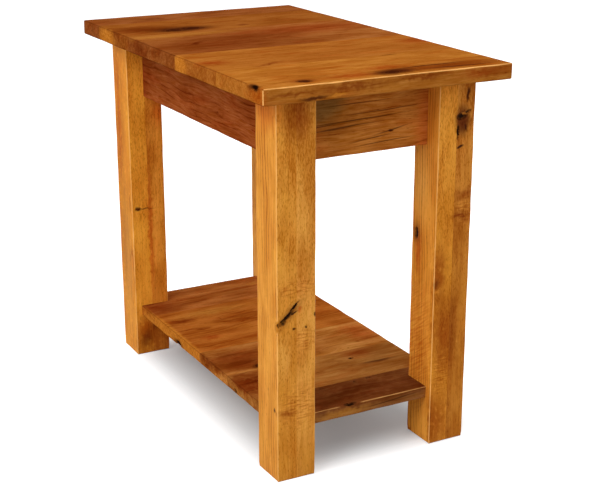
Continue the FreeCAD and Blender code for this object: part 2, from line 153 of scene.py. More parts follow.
# Marks that the photograph shows: kind, middle and half sizes in mm in the table's frame, and the
# turn in its face in degrees
MARKS = {
    "top_board_5": [
        ("knot_ring", (30, 320, 603), (22, 8, 6), 0),
        ("heart", (-90, 300, 603), (26, 9, 6), 0),
    ],
    "top_board_4": [
        ("heart", (-150, 192, 603), (66, 36, 12), 0),
        ("knot", (-108, 166, 603), (22, 14, 6), -6),
        ("knot", (-76, 171, 603), (25, 15, 6), 4),
        ("bark", (-90, 170, 603), (56, 27, 8), 2),
        ("knot_ring", (18, 165, 603), (13, 9, 6), 30),
        ("gold", (-203, 232, 586), (5, 38, 22), 0),
    ],
    "top_board_3": [
        ("sap", (-130, 117, 603), (120, 20, 8), 0),
        ("heart", (-90, 8, 600), (170, 116, 30), 0),
        ("heart", (-203, 96, 591), (5, 44, 22), 0),
        ("red_heart", (95, 78, 603), (140, 50, 9), 0),
        ("heart", (-128, 30, 603), (22, 6, 6), 40),
    ],
    "top_board_2": [
        ("heart", (-112, -186, 603), (34, 6, 5), 24),
        ("gold", (-203, -74, 591), (6, 26, 16), 0),
        ("red_heart", (190, -112, 603), (38, 28, 20), 0),
        ("red_heart", (-178, -140, 603), (26, 18, 6), 0),
    ],
    "top_board_1": [
        ("red_heart", (-52, -318, 603), (42, 18, 6), 0),
        ("red_heart", (22, -288, 603), (38, 18, 6), 0),
        ("brown_heart", (110, -316, 603), (125, 24, 9), 0),
        ("dark_streak", (90, -302, 603), (70, 3.5, 5), 3),
        ("dark_streak", (120, -326, 603), (60, 3.5, 5), -3),
        ("knot", (12, -321, 603), (18, 9, 6), 8),
        ("bark", (14, -321, 603), (38, 20, 8), 5),
        ("knot", (-128, -322, 603), (13, 10, 6), 0),
        ("knot_ring", (-128, -320, 603), (22, 13, 6), 0),
        ("grain_line", (82, -202, 603), (17, 1.8, 4), 5),
        ("open_knot", (-203, -318, 602), (6, 12, 6), 0),
        ("bark", (-203, -317, 602), (8, 18, 8), 0),
        ("heart", (-60, -345, 594), (60, 5, 7), 0),
        ("gold", (-88, -345, 584), (15, 5, 3), 3),
        ("heart", (-160, -345, 592), (34, 5, 4), 2),
        ("bark", (-125, -345, 583.5), (24, 5, 3), 3),
        ("heart", (50, -345, 598), (50, 4, 6), 0),
        ("red_heart", (150, -345, 594), (46, 5, 8), 0),
        ("orange", (-203, -330, 590), (8, 30, 16), 0),
    ],
    "shelf_board_5": [
        ("gold", (-153, 217, 86), (5, 40, 16), 0),
        ("heart", (-132, 220, 95), (46, 28, 12), 0),
        ("sap", (75, 258, 95), (18, 8, 5), 0),
        ("gold", (110, 240, 95), (30, 10, 5), 0),
    ],
    "shelf_board_4": [
        ("red_heart", (-108, 48, 95), (18, 12, 6), 0),
        ("heart", (-120, 140, 95), (30, 12, 6), 0),
        ("sap", (-60, 160, 95), (70, 16, 8), 0),
        ("gold", (-153, 96, 85), (8, 170, 22), 0),
        ("open_knot", (-153, 85, 80), (5, 15, 5), 0),
        ("knot_ring", (-153, 85, 80), (7, 22, 9), 0),
    ],
    "shelf_board_3": [
        ("heart", (-70, -58, 95), (150, 70, 12), 0),
        ("heart", (-153, -30, 86), (5, 34, 20), 0),
        ("heart", (-116, -66, 95), (64, 50, 12), 0),
        ("knot", (-88, -98, 95), (14, 8, 6), 10),
        ("sap", (-60, -108, 95), (90, 4, 4), 0),
        ("red_heart", (130, -50, 95), (34, 52, 8), 0),
    ],
    "shelf_board_2": [
        ("heart", (-134, -154, 96), (70, 58, 7), 0),
        ("red_heart", (-134, -160, 96), (50, 50, 7), 0),
        ("red_heart", (76, -128, 95), (32, 20, 8), 0),
        ("open_knot", (57, -143, 95), (5, 3, 4), 0),
        ("dark_streak", (92, -173, 95), (34, 4, 4), 0),
        ("open_knot", (-153, -140, 80), (4, 7, 4), 0),
    ],
    "shelf_board_1": [
        ("heart", (-10, -250, 99), (200, 80, 13), 0),
        ("open_knot", (-46, -226, 95), (4, 2.5, 3), 0),
        ("open_knot", (14, -226, 95), (3, 3, 3), 0),
        ("open_knot", (42, -224, 95), (5, 2.5, 3), 0),
        ("open_knot", (-34, -294, 95), (12, 4, 4), 0),
        ("sap", (-50, -296.5, 83), (60, 4, 8), 0),
        ("sap", (120, -296.5, 82), (30, 4, 8), 0),
        ("grain_line", (40, -296.5, 86), (50, 5, 1.2), 3),
    ],
    "leg_front_left": [
        ("knot", (-165.5, -300.5, 115), (4, 3, 4), 0),
        ("deep_stain", (-112, -309.5, 26), (26, 6, 44), 0),
        ("orange", (-165.5, -276, 562), (14, 46, 34), 0),
        ("heart", (-134, -309.5, 556), (24, 6, 40), 0),
        ("open_knot", (-150, -309.5, 260), (18, 6, 3.6), 44),
        ("open_knot", (-156, -309.5, 254), (8, 6, 4.8), 44),
        ("open_knot", (-138, -309.5, 275), (13, 5, 1.8), 44),
        ("knot_ring", (-146, -309.5, 264), (30, 9, 9), 44),
        ("check", (-138, -309.5, 266), (7, 4, 1.6), 26),
        ("open_knot", (-161, -309.5, 251), (5, 5, 4), 0),
        ("knot", (-137, -309.5, 241.5), (2.6, 4, 2.2), 50),
        ("knot", (-119, -309.5, 242), (2.2, 4, 2.2), 50),
        ("knot", (-103.5, -309.5, 258), (2.6, 5, 4), 0),
        ("red_heart", (-128, -309.5, 271), (4, 4, 3), 0),
        ("pale_sap", (-155, -309.5, 198), (13, 6, 32), 0),
        ("ripple", (-134, -309.5, 302), (34, 6, 16), 0),
        ("ripple", (-120, -309.5, 222), (22, 6, 20), 0),
        ("heart", (-152, -309.5, 111), (17, 6, 8), -4),
        ("ripple", (-130, -309.5, 120), (34, 6, 40), 0),
    ],
    "leg_front_right": [
        ("open_knot", (102, -258.5, 337), (5, 4.5, 10), 0),
        ("knot_ring", (102, -259, 338), (8, 10, 20), 0),
        ("red_heart", (102, -265, 308), (8, 9, 36), 0),
        ("feather", (102, -268, 160), (6, 44, 110), 0),
        ("bark", (144, -309.5, 516), (12, 5, 24), 0),
        ("open_knot", (142, -309.5, 524), (10, 5, 6), 10),
        ("open_knot", (151, -309.5, 529), (8, 4, 3.2), 24),
        ("knot_ring", (143, -309.5, 520), (15, 7, 22), 0),
        ("open_knot", (136, -309.5, 500), (2.4, 4, 12), 0),
        ("knot", (150, -309.5, 506), (2.4, 4, 8), 10),
        ("knot", (152, -309.5, 556), (3, 4, 13), -8),
        ("check", (141, -309.5, 478), (7, 4, 2.4), 20),
        ("heart", (152, -309.5, 404), (20, 6, 11), 0),
        ("heart", (146, -309.5, 371), (14, 5, 9), 0),
        ("ripple", (150, -309.5, 378), (17, 6, 26), 0),
        ("heart", (112, -309.5, 38), (27, 6, 64), 0),
        ("pale_sap", (102, -268, 420), (6, 21, 62), 0),
        ("heart", (110, -309.5, 284), (16, 6, 46), 0),
        ("knot_ring", (107, -309.5, 268), (5, 5, 9), 0),
        ("heart", (124, -309.5, 185), (26, 6, 70), 0),
        ("deep_stain", (134, -309.5, 200), (60, 6, 230), 0),
        ("ripple", (120, -309.5, 120), (18, 6, 40), 0),
    ],
    "leg_back_left": [
        ("deep_stain", (-165.5, 285, 330), (4, 90, 420), 0),
        ("deep_stain", (-165.5, 296, 330), (6, 26, 260), 0),
        ("orange", (-165.5, 291, 455), (9, 9, 130), 0),
        ("sap", (-165.5, 274, 185), (10, 22, 120), 0),
        ("knot", (-154, 246, 278), (6, 5, 4), 0),
        ("dark_streak", (-140, 246, 276.5), (16, 4, 1.4), -3),
        ("red_heart", (-131, 246, 240), (5, 6, 130), 0),
        ("red_heart", (-108, 246, 452), (20, 6, 34), 0),
        # Under the shelf, the heart at the foot and the red heart just above it are painted shade
        ("heart", (-126, 246, 26), (60, 6, 46), 20),
        ("knot_ring", (-118, 246, 58), (24, 6, 9), 24),
        ("knot_ring", (-146, 246, 30), (12, 6, 18), -20),
        ("red_heart", (-148, 246, 52), (20, 6, 26), 0),
    ],
    "front_apron": [
        ("grey_heart", (-62, -279.5, 536), (50, 8, 38), 0),
        ("olive_heart", (-92, -279.5, 569), (60, 10, 44), 0),
        ("grain_line", (-20, -279.5, 530), (92, 8, 1.1), 2),
        ("grain_line", (-44, -279.5, 521), (64, 8, 1.3), 3),
        ("grain_line", (-76, -279.5, 526), (30, 8, 0.9), 3),
        ("grain_line", (30, -279.5, 540), (70, 8, 0.8), 2),
        ("grain_line", (40, -279.5, 509), (30, 8, 1.3), 10),
        ("knot", (38, -279.5, 508), (5, 8, 2), 10),
        ("grain_line", (6, -279.5, 500), (40, 8, 0.9), 6),
        ("grain_line", (30, -279.5, 493), (54, 8, 0.8), 3),
        ("grain_line", (-20, -279.5, 554), (60, 8, 0.7), 1),
        ("rust", (98, -279.5, 508), (18, 8, 62), 0),
    ],
}

# Each board: its stain's pale and deep colour, its pith across and below its middle, the width of
# its rings, how strong they are, and how far the grain sways, in mm but for the strength
BOARDS = {
    "top_board_1": ("#C27C31", "#9F5615", (30, -70), 7.0, 0.35, 9.0),
    "top_board_2": ("#B66F2C", "#9C5417", (-50, -60), 6.0, 0.3, 9.0),
    "top_board_3": ("#B26E36", "#914B17", (20, 90), 6.0, 0.4, 9.0),
    "top_board_4": ("#A86328", "#8A4611", (-30, -80), 5.5, 0.4, 9.0),
    "top_board_5": ("#A76132", "#813F10", (40, 70), 5.0, 0.4, 9.0),
    "shelf_board_1": ("#A46C3D", "#743C12", (30, -60), 5.0, 0.4, 14.0),
    "shelf_board_2": ("#C28643", "#935016", (-30, 70), 5.0, 0.45, 14.0),
    "shelf_board_3": ("#DF9C50", "#A9601B", (30, 60), 5.0, 0.55, 14.0),
    "shelf_board_4": ("#C97830", "#9B4B0F", (-20, -50), 6.0, 0.8, 16.0),
    "shelf_board_5": ("#C77A3B", "#944811", (20, 70), 6.0, 0.55, 14.0),
    "leg_front_left_outer_ply": ("#F1A744", "#D08126", (30, 40), 6.4, 1.0, 9.0),
    "leg_front_left_inner_ply": ("#F6AE4F", "#CB7D26", (-62, 8), 5.5, 0.4, 7.0),
    "leg_front_right_outer_ply": ("#E89C41", "#B26116", (-58, -6), 5.5, 0.4, 7.0),
    "leg_front_right_inner_ply": ("#F6A841", "#D98528", (28, -36), 6.0, 1.0, 9.0),
    "leg_back_left_outer_ply": ("#FFAF3D", "#E38C26", (34, 20), 6.0, 0.7, 8.0),
    "leg_back_left_inner_ply": ("#FCA840", "#C36B16", (-60, 5), 5.5, 0.4, 7.0),
    "leg_back_right_outer_ply": ("#F6A641", "#DF8A2E", (-34, -30), 6.0, 0.8, 8.0),
    "leg_back_right_inner_ply": ("#FCB655", "#CD8027", (32, 26), 6.0, 0.8, 8.0),
    "front_apron": ("#D08338", "#9B4F10", (60, 90), 6.0, 0.8, 8.0),
    "back_apron": ("#D08338", "#9B4F10", (-60, 90), 6.0, 0.8, 8.0),
    "left_apron": ("#AB5C2D", "#80350B", (70, 60), 8.0, 1.0, 14.0),
    "right_apron": ("#B26630", "#853C0C", (-70, 60), 8.0, 1.0, 14.0),
}

SLOTS = {name: body[2] for name in BOARDS for word, body in BODIES.items() if name.startswith(word)}


def linear(hex_colour):
    """An sRGB hex colour as a linear RGBA one."""
    shares = [int(hex_colour[i : i + 2], 16) / 255 for i in (1, 3, 5)]
    return (*[s / 12.92 if s <= 0.04045 else ((s + 0.055) / 1.055) ** 2.4 for s in shares], 1.0)


def add(tree, kind, inputs=(), out=0, **settings):
    """Adds a node with its settings, fills or links its inputs, and gives its output, if any."""
    new = tree.nodes.new("ShaderNode" + kind)
    for name, value in settings.items():
        setattr(new, name, value)
    pairs = inputs.items() if isinstance(inputs, dict) else enumerate(inputs)
    for key, value in pairs:
        if isinstance(value, bpy.types.NodeSocket):
            tree.links.new(value, new.inputs[key])
        else:
            new.inputs[key].default_value = value
    return new.outputs[out] if new.outputs else None


# A Mix node's inputs for colours, its settings to lay one over another or to multiply them, and the
# settings of a soft step
SHARE, UNDER, OVER = 0, 6, 7
LAID_OVER = {"out": 2, "data_type": "RGBA", "blend_type": "MIX"}
MULTIPLIED = {"out": 2, "data_type": "RGBA", "blend_type": "MULTIPLY"}
SMOOTH = {"interpolation_type": "SMOOTHSTEP"}


def blank_tree(owner):
    """The empty node tree of a new material or world."""
    owner.use_nodes = True
    owner.node_tree.nodes.clear()
    return owner.node_tree


def stretched(tree, grain_mm, along_mm, across_mm, detail, out="Fac", kind="TexNoise", **settings):
    """A pattern whose spots are along_mm long on the grain and across_mm wide."""
    scale = (1 / along_mm, 1 / across_mm, 1 / across_mm)
    place = add(tree, "VectorMath", [grain_mm, scale], operation="MULTIPLY")
    return add(tree, kind, {"Vector": place, "Scale": 1.0, **detail}, out=out, **settings)


def centred(tree, pattern, spread):
    """A colour pattern turned to a shift of up to spread each way."""
    middle = add(tree, "VectorMath", [pattern, (0.5, 0.5, 0.5)], operation="SUBTRACT")
    return add(tree, "VectorMath", [middle, tuple(2 * s for s in spread)], operation="MULTIPLY")


# Where the boards and their marks are

def body_of(name):
    """The glued-up body that a board or a ply belongs to."""
    return next(body for body in BODIES if name.startswith(body))


def box_mm(name):
    """Lowest and highest corner in mm of a node."""
    return [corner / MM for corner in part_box(name)]


def body_box(body):
    """Lowest and highest corner in mm of all the pieces of a glued-up body."""
    boxes = [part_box(name) for name in NODES if name.startswith(body)]
    low = [min(box[0][i] for box in boxes) / MM for i in range(3)]
    high = [max(box[1][i] for box in boxes) / MM for i in range(3)]
    return low, high


def marks_of(name):
    """A board's own marks, or those of the leg that a ply belongs to."""
    return MARKS.get(name, MARKS.get(body_of(name), []))


def mark_turn(centre, box, degrees):
    """A mark's turn about the axis of the face that it lies on, and that axis."""
    gaps = [min(abs(centre[i] - box[0][i]), abs(centre[i] - box[1][i])) for i in range(3)]
    axis = gaps.index(min(gaps))
    turn = [0.0, 0.0, 0.0]
    turn[axis] = math.radians(degrees) * (-1 if axis == 1 else 1)
    return Euler(turn), axis


# Making the boards

def cut_across(bm, axis, places_mm, faces=None):
    """Cuts a mesh by planes square to an axis, all of it or only some faces."""
    normal = [0.0, 0.0, 0.0]
    normal[axis] = 1.0
    for place in places_mm:
        point = [place * MM * share for share in normal]
        if faces is None:
            geometry = bm.verts[:] + bm.edges[:] + bm.faces[:]
        else:
            picked = [f for f in bm.faces if faces(f)]
            geometry = picked + list({e for f in picked for e in f.edges})
            geometry += list({v for f in picked for v in f.verts})
        plane = {"plane_co": point, "plane_no": normal}
        bmesh.ops.bisect_plane(bm, geom=geometry, dist=SAME_PLACE_M, **plane)


def steps(low, high, step):
    """Round multiples of step that lie between two values."""
    first = math.ceil(low / step + LEAST_CELL_SHARE)
    last = math.floor(high / step - LEAST_CELL_SHARE)
    return [step * i for i in range(first, last + 1)]


def holes_of(name, box):
    """The open knots and checks that reach a board: middle, half sizes, way back from its turn, depth,
    way inward, axis of its face, and reach in that face."""
    low, high = box
    node_low, node_high = box_mm(name)
    holes = []
    for kind, centre, half, degrees in marks_of(name):
        if kind not in OPEN_KINDS:
            continue
        depth = ALL_KINDS[kind][4]
        turn, face_axis = mark_turn(centre, box, degrees)
        centre = Vector(centre)
        reach = max(half[i] for i in range(3) if i != face_axis) + HOLE_MARGIN_MM
        if any(centre[i] + reach < node_low[i] or centre[i] - reach > node_high[i] for i in range(3)):
            continue
        at_low = abs(centre[face_axis] - low[face_axis]) < abs(centre[face_axis] - high[face_axis])
        inward = Vector([0.0, 0.0, 0.0])
        inward[face_axis] = 1.0 if at_low else -1.0
        untwist = turn.to_matrix().inverted()
        holes.append((centre, Vector(half), untwist, depth, inward, face_axis, reach))
    return holes


def cut_round(bm, hole):
    """Cuts the face round a hole into finer cells."""
    centre, *_rest, face_axis, reach = hole
    in_face = [axis for axis in range(3) if axis != face_axis]

    def near(face):
        away = face.calc_center_median() / MM - centre
        if abs(away[face_axis]) > HOLE_SKIN_MM:
            return False
        return all(abs(away[i]) < reach + HOLE_SKIN_MM for i in in_face)

    for axis in in_face:
        cut_across(bm, axis, steps(centre[axis] - reach, centre[axis] + reach, CELL_KNOT_MM), near)


def worn_place(place, low, high, holes):
    """Where a point of a board ends up, in mm, once its outer faces are scraped and rubbed."""
    moved = Vector(place)
    gaps = []
    for axis in range(3):
        for side, inward in ((low[axis], 1.0), (high[axis], -1.0)):
            gaps.append((abs(place[axis] - side), axis, inward))
    gaps.sort()
    gap, axis, inward = gaps[0]
    if gap < SKIN_MM:
        wave = noise.noise(place / HOLLOW_LENGTH_MM) * 0.5 + 0.5
        moved[axis] += inward * HOLLOW_MM * wave * (1 - gap / SKIN_MM)
    if gaps[1][0] < RUBBED_REACH_MM:
        rub = max(0.0, noise.noise(place / RUBBED_LENGTH_MM) + RUBBED_LEAST)
        if low[2] < FOOT_ON_FLOOR_MM and place[2] < RUBBED_REACH_MM:
            rub += FOOT_RUB
        share = (1 - gaps[0][0] / RUBBED_REACH_MM) * (1 - gaps[1][0] / RUBBED_REACH_MM)
        for gap, axis, inward in gaps[:2]:
            moved[axis] += inward * RUBBED_MM * rub * share * share
    for centre, half, untwist, depth, inward, face_axis, _reach in holes:
        if abs(place[face_axis] - centre[face_axis]) > HOLE_SKIN_MM:
            continue
        at = place / HOLE_RAGGED_LENGTH_MM
        ragged = Vector([noise.noise(at + Vector((NOISES_APART * i, 0, 0))) for i in range(3)])
        away = untwist @ (place - centre + ragged * HOLE_RAGGED_MM)
        away = Vector([away[i] / half[i] if i != face_axis else 0.0 for i in range(3)])
        share = max(0.0, 1 - away.length_squared)
        moved += inward * depth * min(1.0, HOLE_WALL_SLOPE * share)
    return moved


def worn_copy(name):
    """A finer copy of a CAD board that stands for it, with its faces scraped by hand, its arrises
    rubbed and its knots open."""
    body = body_of(name)
    grain = AXES.index(BODIES[body][0])
    low, high = body_box(body)
    node_low, node_high = box_mm(name)
    coarse = 1.0
    bm = bmesh.new()
    bm.from_mesh(NODES[name].data)
    bmesh.ops.remove_doubles(bm, verts=bm.verts, dist=SAME_PLACE_M)
    bmesh.ops.dissolve_limit(bm, angle_limit=FLAT_RADIANS, verts=bm.verts, edges=bm.edges)
    for axis in range(3):
        cell = CELL_ALONG_MM if axis == grain else CELL_ACROSS_MM
        cut_across(bm, axis, steps(node_low[axis], node_high[axis], cell * coarse))
    holes = holes_of(name, (low, high))
    for hole in holes:
        cut_round(bm, hole)
    for vertex in bm.verts:
        vertex.co = worn_place(vertex.co / MM, low, high, holes) * MM
    bmesh.ops.recalc_face_normals(bm, faces=bm.faces)
    for face in bm.faces:
        face.smooth = True
    for edge in bm.edges:
        edge.smooth = edge.calc_face_angle(0.0) < math.radians(SHARP_EDGE_DEGREES)
    mesh = bpy.data.meshes.new("worn_" + name)
    bm.to_mesh(mesh)
    bm.free()
    piece = bpy.data.objects.new("worn_" + name, mesh)
    bpy.context.scene.collection.objects.link(piece)
    flat = piece.modifiers.new("flat_faces", "WEIGHTED_NORMAL")
    flat.keep_sharp = True
    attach(piece, "root")
    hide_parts(name)
    return piece


# Finishes

# The grain runs along the first axis of a pattern: how far each board is turned for that
GRAIN_TURN = {"X": 0.0, "Z": math.tau / 3, "Y": 2 * math.tau / 3}
# Each board's pattern is cut from another part of the same endless wood
BOARDS_APART_MM = (411.0, 173.0, 89.0)
SWAY_LENGTH_MM = (140.0, 42.0)

# Patterns, as their length on the grain and their width. Fibres, pores and flecks are drawn about
# twice as wide as they are, so that they show from two metres
FIBRE_MM = (42.0, 2.2)
STREAK_MM = (130.0, 7.0)
CLOUD_MM = (85.0, 30.0)
WARMTH_MM = (70.0, 18.0)
PORE_MM = (11.0, 2.4)
FLECK_MM = (6.0, 1.5)
RIPPLE_MM = (3.0, 15.0)
FEATHER_MM = (30.0, 3.0)
FEATHER_TURN_DEGREES = 55.0
DRAWN_OUT_MM = (60.0, 12.0)
RAGGED_PER_MM = 0.09

# Stain: pale and deep by streaks and clouds, with redder and more golden places
STREAK_WEIGHT = 0.45
CLOUD_WEIGHT = 0.85
TONE_LIMITS = (0.48, 0.82)
STAIN_CONTRAST = {
    "leg_hickory": 0.65,
    "top_hickory": 0.55,
    "shelf_hickory": 0.65,
    "apron_hickory": 0.55,
}
RED_LIMITS = (0.5, 0.68)
RED_SHADE = (0.96, 0.76, 0.62, 1.0)
RED_SHARE = 0.7
LEG_RED_SHARE = 0.3
GOLD_LIMITS = (0.3, 0.46)
GOLD_SHADE = (1.03, 1.06, 0.94, 1.0)
GOLD_SHARE = 0.6

# Fibres: where hickory takes more stain, its blue goes first and its red last
FIBRE_CONTRAST = {
    "leg_hickory": 0.5,
    "top_hickory": 1.1,
    "shelf_hickory": 0.75,
    "apron_hickory": 1.4,
}
FIBRE_LIMITS = (0.32, 0.66)
DEEP_FIBRE = (0.84, 0.74, 0.48)
PALE_FIBRE = (1.1, 1.17, 1.4)

# Growth rings: how the pith leans from the board's length, in radians and by how much from board to
# board, how much of a year is early wood, how jagged it is, and how it fades in and out
LEAN = 0.03
LEAN_SPREAD = (0.012, 0.02)
LEAN_STEPS = (2.4, 1.7)
EARLY_WOOD = (0.04, 0.28)
LATE_WOOD = (0.93, 1.0)
JAG_MM = 1.2
FAINT_YEAR = 0.2
FAINT_PLACE = 0.2
BROKEN_LIMITS = (0.4, 0.58)
QUARTERED_SHARE = 0.3
RING_SHADE = (0.5, 0.28, 0.05, 1.0)

# Pores, the most in early wood, and ray fleck, the most at a leg's top
PORE_LIMITS = (0.08, 0.3)
PORE_RING_LIMIT = 0.7
PORE_LEAST = 0.3
PORE_SHADE = (0.5, 0.32, 0.1, 1.0)
FLECK_DEPTH_PER_MM = 0.03
FLECK_SLOPE = 0.05
FLECK_CLOUD_WEIGHT = 0.22
FLECK_LIMITS = (0.65, 0.73)
FLECK_SHARE = 0.7
FLECK_SHADE = (0.68, 0.5, 0.2, 1.0)

# Knots: the grain flows round the large ones, and a knot has rings of its own
FLOW_REACH = 3.2
FLOW_SHARE = -0.75
FLOW_LEAST_MM = 6.0
KNOT_RINGS = 3
KNOT_RING_COLOUR = "#6C3410"
KNOT_RING_LIMITS = (-0.4, 0.9)
KNOT_HEART_LIMITS = (0.3, 0.6)
KNOT_RING_SHARE = 0.65
HOLE_RIM_LIMITS = (1.5, 2.0)
RIPPLE_LIMITS = (0.44, 0.66)
FEATHER_LIMITS = (0.4, 0.62)

# Glue lines; arrises made pale, part wear through the stain and part painted highlight, and
# darkened with painted shade across the grain; and ends that drink the stain
GLUE_LINE_MM = 0.5
GLUE_LINE_SHARE = 0.15
# Darker tone for the glue lines, and painted shade on arrises across the grain
GLUE_AND_PAINTED_SHADE = (0.4, 0.3, 0.25, 1.0)
# Pale arris colour: partly wear through the stain, partly a painted highlight
RUBBED_AND_HIGHLIGHT_COLOUR = "#FFC070"
ARRIS_LIMITS = (0.86, 0.58)
ARRIS_SHARE = {"leg_hickory": 0.9, "top_hickory": 0.9, "shelf_hickory": 0.55, "apron_hickory": 0.9}
ARRIS_FIBRE_LIMITS = (0.3, 0.6)
CROSSWISE_LIMIT = 0.03
SHADED_ARRIS_SHARE = 0.7
FACES_DOWN = (-0.3, -0.1)
END_LIMITS = (0.6, 1.0)
END_STREAK_LIMITS = (0.42, 0.6)
END_SHARES = (0.1, 0.5)
END_SHADE = (0.62, 0.45, 0.3, 1.0)

# Oiled surface: satin, a little duller on the fibres, with open pores and early wood a hair lower
OILED_GLOSS = {"leg_hickory": 0.02, "top_hickory": 0.0, "shelf_hickory": 0.0, "apron_hickory": 0.0}
SATIN_FIBRE_LIMITS = (0.3, 0.7)
SATIN_ROUGHNESS = (0.35, 0.5)
WOOD_IOR = 1.5
RELIEF_STRENGTH = 0.35
RELIEF_MM = 0.3
PORE_DEPTH = 0.6
RING_DEPTH = 0.25

# Bare poplar of the blocks and buttons: its grain, its two tones and the saw's roughness
POPLAR_FIBRE_MM = (40.0, 1.2)
POPLAR_CLOUD_MM = (60.0, 14.0)
POPLAR_COLOURS = ("#CDB07A", "#B39560")
POPLAR_FIBRE_LIMITS = (0.25, 0.75)
POPLAR_SHADES = (0.85, 1.1)
POPLAR_ROUGHNESS = 0.75
SAWN_STRENGTH = 0.4
SAWN_MM = 0.3
# Yellow zinc on the screws: its gold and its grey, and how the bath leaves it more or less bright
ZINC_COLOURS = ("#D8B860", "#B8A070")
ZINC_BATH_LIMITS = (0.3, 0.7)
ZINC_ROUGHNESS = (0.25, 0.45)
ZINC_BATH_PER_MM = 0.3


def mark_distance(tree, place_mm, mark, box):
    """How far a place is from the middle of a mark: one at its rim."""
    _kind, centre, half, degrees = mark
    turn, _axis = mark_turn(centre, box, degrees)
    local = {"Vector": place_mm, "Location": centre, "Rotation": tuple(turn), "Scale": half}
    local = add(tree, "Mapping", local, vector_type="TEXTURE")
    return add(tree, "VectorMath", [local], out="Value", operation="LENGTH")


def flow_round_knots(tree, name, table_mm, own_mm):
    """The grain parts round each large knot as water does round a stone."""
    grain = BODIES[body_of(name)][0]
    box = body_box(body_of(name))
    across = tuple(0.0 if axis == grain else FLOW_SHARE for axis in AXES)
    for mark in marks_of(name):
        kind, centre, half, _degrees = mark
        if kind not in ("open_knot", "knot") or sorted(half)[1] < FLOW_LEAST_MM:
            continue
        away = mark_distance(tree, table_mm, mark, box)
        share = add(tree, "MapRange", [away, 0.0, FLOW_REACH, 1.0, 0.0], **SMOOTH)
        from_knot = add(tree, "VectorMath", [table_mm, centre], operation="SUBTRACT")
        aside = add(tree, "VectorMath", [from_knot, across], operation="MULTIPLY")
        aside = add(tree, "VectorMath", {0: aside, "Scale": share}, operation="SCALE")
        own_mm = add(tree, "VectorMath", [own_mm, aside], operation="ADD")
    return own_mm


def grain_places(tree, name, seed):
    """Places in mm: in the table, from the board's middle, and three with the grain along the first
    axis, one straight, one that sways for the rings and one that sways for fibres and stain."""
    grain = BODIES[body_of(name)][0]
    sway_mm = BOARDS[name][5]
    low, high = box_mm(name)
    metres = add(tree, "TexCoord", out="Object")
    table_mm = add(tree, "VectorMath", [metres, (1 / MM,) * 3], operation="MULTIPLY")
    own_mm = add(tree, "VectorMath", [table_mm, tuple((low + high) / 2)], operation="SUBTRACT")
    parted_mm = flow_round_knots(tree, name, table_mm, own_mm)
    turned = {"Vector": parted_mm, "Axis": (1, 1, 1), "Angle": GRAIN_TURN[grain]}
    turned_mm = add(tree, "VectorRotate", turned, rotation_type="AXIS_ANGLE")
    apart = tuple(seed * part for part in BOARDS_APART_MM)
    straight_mm = add(tree, "VectorMath", [turned_mm, apart], operation="ADD")
    sway = stretched(tree, straight_mm, *SWAY_LENGTH_MM, {"Detail": 2.0}, out="Color")
    sway = centred(tree, sway, (0.0, sway_mm, sway_mm))
    return {
        "table": table_mm,
        "own": own_mm,
        "straight": straight_mm,
        "rings": add(tree, "VectorMath", [turned_mm, sway], operation="ADD"),
        "wavy": add(tree, "VectorMath", [straight_mm, sway], operation="ADD"),
    }


def growth_rings(tree, rings_mm, fibre, pith, ring_mm, seed):
    """Dark porous early wood at the start of each year, strong in some years and faint in others."""
    lean = LEAN + LEAN_SPREAD[0] * math.sin(seed * LEAN_STEPS[0])
    aside = LEAN_SPREAD[1] * math.cos(seed * LEAN_STEPS[1])
    tilt = {"Vector": rings_mm, "Location": (0, pith[0], pith[1]), "Rotation": (0.0, lean, aside)}
    from_pith = add(tree, "Mapping", tilt)
    from_pith = add(tree, "VectorMath", [from_pith, (0, 1, 1)], operation="MULTIPLY")
    radius = add(tree, "VectorMath", [from_pith], out="Value", operation="LENGTH")
    radius = add(tree, "Math", [fibre, JAG_MM, radius], operation="MULTIPLY_ADD")
    year = add(tree, "Math", [radius, ring_mm], operation="DIVIDE")
    in_year = add(tree, "Math", [year], operation="FRACT")
    count = add(tree, "Math", [year], operation="FLOOR")
    strength = add(tree, "TexWhiteNoise", {"W": count}, out="Value", noise_dimensions="1D")
    strength = add(tree, "MapRange", [strength, 0.0, 1.0, FAINT_YEAR, 1.0])
    early = add(tree, "MapRange", [in_year, *EARLY_WOOD, 1.0, 0.0], **SMOOTH)
    late = add(tree, "MapRange", [in_year, *LATE_WOOD, 0.0, 1.0], **SMOOTH)
    ring = add(tree, "Math", [early, late], operation="MAXIMUM")
    return add(tree, "Math", [ring, strength], operation="MULTIPLY")


def wood_patterns(tree, name, seed, at):
    """The board's fibres, rings and pores, and the streaks, clouds and warmth of its stain."""
    pith, ring_mm = BOARDS[name][2:4]
    wavy_mm = at["wavy"]
    fibre = stretched(tree, wavy_mm, *FIBRE_MM, {"Detail": 4.0, "Roughness": 0.6})
    ring = growth_rings(tree, at["rings"], fibre, pith, ring_mm, seed)
    pore = stretched(tree, wavy_mm, *PORE_MM, {"Randomness": 1.0}, out="Distance", kind="TexVoronoi")
    pore = add(tree, "MapRange", [pore, *PORE_LIMITS, 1.0, 0.0])
    in_ring = add(tree, "MapRange", [ring, 0.0, PORE_RING_LIMIT, PORE_LEAST, 1.0])
    warmth = {"Detail": 3.0, "W": 5.0}
    return {
        "fibre": fibre,
        "ring": ring,
        "pore": add(tree, "Math", [pore, in_ring], operation="MULTIPLY"),
        "streak": stretched(tree, wavy_mm, *STREAK_MM, {"Detail": 4.0, "Roughness": 0.62}),
        "cloud": stretched(tree, wavy_mm, *CLOUD_MM, {"Detail": 3.0}),
        "warmth": stretched(tree, wavy_mm, *WARMTH_MM, warmth, noise_dimensions="4D"),
    }


